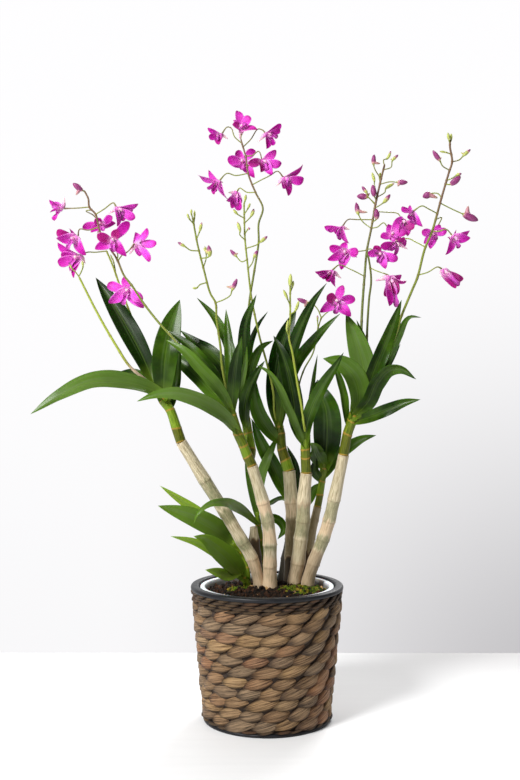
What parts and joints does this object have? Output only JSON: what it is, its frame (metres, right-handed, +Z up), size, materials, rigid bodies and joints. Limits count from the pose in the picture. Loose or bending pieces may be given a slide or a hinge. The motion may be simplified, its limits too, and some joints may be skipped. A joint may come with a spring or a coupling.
{
  "type": "potted dendrobium orchid",
  "caption": "Flowering dendrobium orchid with papery canes, leafy tops and slender flower spikes, standing in potting mix in a round lined basket planter.",
  "frame": {"origin": "centre of the liner's flat underside, on the surface that the pot stands on", "axes": "+Z up along the pot's axis, -Y towards the side that the plant is shown from, +X to its right"},
  "size_m": [0.4095, 0.1501, 0.5945],
  "materials": {
    "weave": "matte plaited water hyacinth",
    "black_plastic": "satin",
    "white_plastic": "satin",
    "mix": "damp bark and peat",
    "cane": "papery sheath",
    "leaf": "waxy",
    "stem": "smooth green",
    "petal": "soft petals"
  },
  "bodies": {
    "root": {"basket": "weave", "liner": "black_plastic", "nursery_pot": "white_plastic", "potting_mix": "mix", "cane_a": "cane", "cane_b": "cane", "cane_c": "cane", "cane_d": "cane", "cane_e": "cane", "cane_f": "cane", "cane_g": "cane", "cane_h": "cane", "leafy_top_a": "leaf", "leafy_top_b": "leaf", "leafy_top_c": "leaf", "leafy_top_d": "leaf", "leafy_top_e": "leaf", "leafy_top_f": "leaf", "leafy_top_h": "leaf", "left_shoot": "leaf", "back_shoot": "leaf", "spike_1": "stem", "spike_2": "stem", "spike_3": "stem", "spike_4": "stem", "spike_5": "stem", "spike_6": "stem", "spike_7": "stem", "spike_8": "stem", "spike_9": "stem", "spike_10": "stem", "spike_11": "stem", "bloom_1": "petal", "bloom_2": "petal", "bloom_3": "petal", "bloom_4": "petal", "bloom_5": "petal", "bloom_6": "petal", "bloom_7": "petal", "bloom_8": "petal", "bloom_9": "petal", "bloom_10": "petal", "bloom_11": "petal", "bloom_12": "petal", "bloom_13": "petal", "bloom_14": "petal", "bloom_15": "petal", "bloom_16": "petal", "bloom_17": "petal", "bloom_18": "petal", "bloom_19": "petal", "bloom_20": "petal", "bloom_21": "petal", "bloom_22": "petal", "bloom_24": "petal", "bloom_25": "petal", "bloom_26": "petal", "bloom_27": "petal", "bloom_28": "petal", "bloom_29": "petal"}
  },
  "joints": []
}
